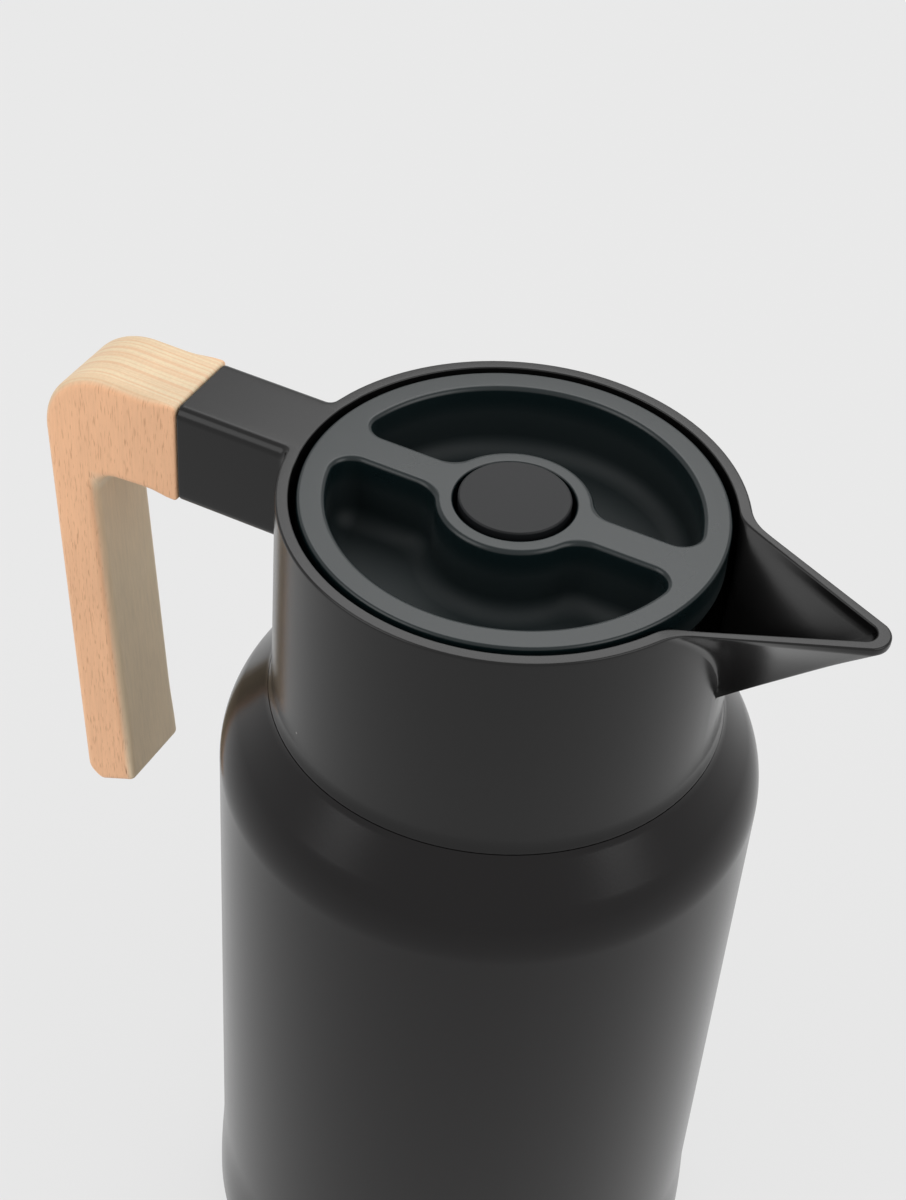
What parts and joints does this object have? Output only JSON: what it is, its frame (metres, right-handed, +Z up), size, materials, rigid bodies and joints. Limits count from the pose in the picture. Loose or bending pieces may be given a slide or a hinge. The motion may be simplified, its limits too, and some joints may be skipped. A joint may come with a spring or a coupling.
{
  "type": "thermal jug",
  "caption": "Round double-walled thermal jug with a pointed spout, an angled wooden grip and a screw-in stopper with a press button.",
  "frame": {"origin": "centre of the flat resting face under the base", "axes": "+Z up, +X towards the spout, -X towards the handle"},
  "size_m": [0.1954, 0.1258, 0.237],
  "materials": {
    "black_coat": "fine satin powder coat on steel",
    "stainless": "spun satin steel",
    "collar_plastic": "satin moulded plastic",
    "lid_plastic": "satin moulded plastic",
    "button_plastic": "fine matt plastic",
    "inner_plastic": "smooth moulded plastic",
    "silicone": "soft translucent silicone",
    "black_silicone": "matt silicone",
    "beech": "oiled, fine sanded",
    "brass": "turned",
    "screw_steel": "zinc plated"
  },
  "bodies": {
    "vessel": {"outer_shell": "black_coat", "inner_flask": "stainless", "base_plate": "stainless", "getter": "stainless", "vacuum_seal": "stainless", "base_pad": "black_silicone", "collar": "collar_plastic", "collar_gasket": "silicone", "arm_cover": "collar_plastic", "handle_grip": "beech", "grip_inserts": "brass", "grip_screws": "screw_steel"},
    "seal": {"stopper_seal": "silicone"},
    "stopper": {"lid_cap": "lid_plastic", "stopper_body": "inner_plastic", "spring_housing": "inner_plastic", "housing_ring": "silicone", "stem_wiper": "silicone", "return_spring": "screw_steel"},
    "plunger": {"button_cap": "button_plastic", "valve_stem": "stainless", "valve_disc": "inner_plastic", "valve_seal": "silicone"},
    "latch": {"latch_ring": "inner_plastic"}
  },
  "joints": [
    {"name": "stopper_lift", "type": "slide", "parent": "vessel", "child": "seal", "axis": [0, 0, 1], "range_m": [0, 0.064]},
    {"name": "stopper_turn", "type": "hinge", "parent": "seal", "child": "stopper", "pos_m": [0, 0, 0.21], "axis": [0, 0, 1], "range_deg": [0, 720]},
    {"name": "button_press", "type": "slide", "parent": "stopper", "child": "plunger", "axis": [0, 0, -1], "range_m": [0, 0.004], "stiffness_N_per_m": 500, "springref_m": -0.006, "deforming": ["return_spring"]},
    {"name": "latch_turn", "type": "hinge", "parent": "plunger", "child": "latch", "pos_m": [0, 0, 0.219], "axis": [0, 0, 1], "range_deg": [0, 45]}
  ],
  "couplings": [
    {"joint": "stopper_lift", "follows": "stopper_turn", "m_per_rad": 0.0050929},
    {"joint": "latch_turn", "follows": "button_press", "rad_per_m": 196.35}
  ]
}
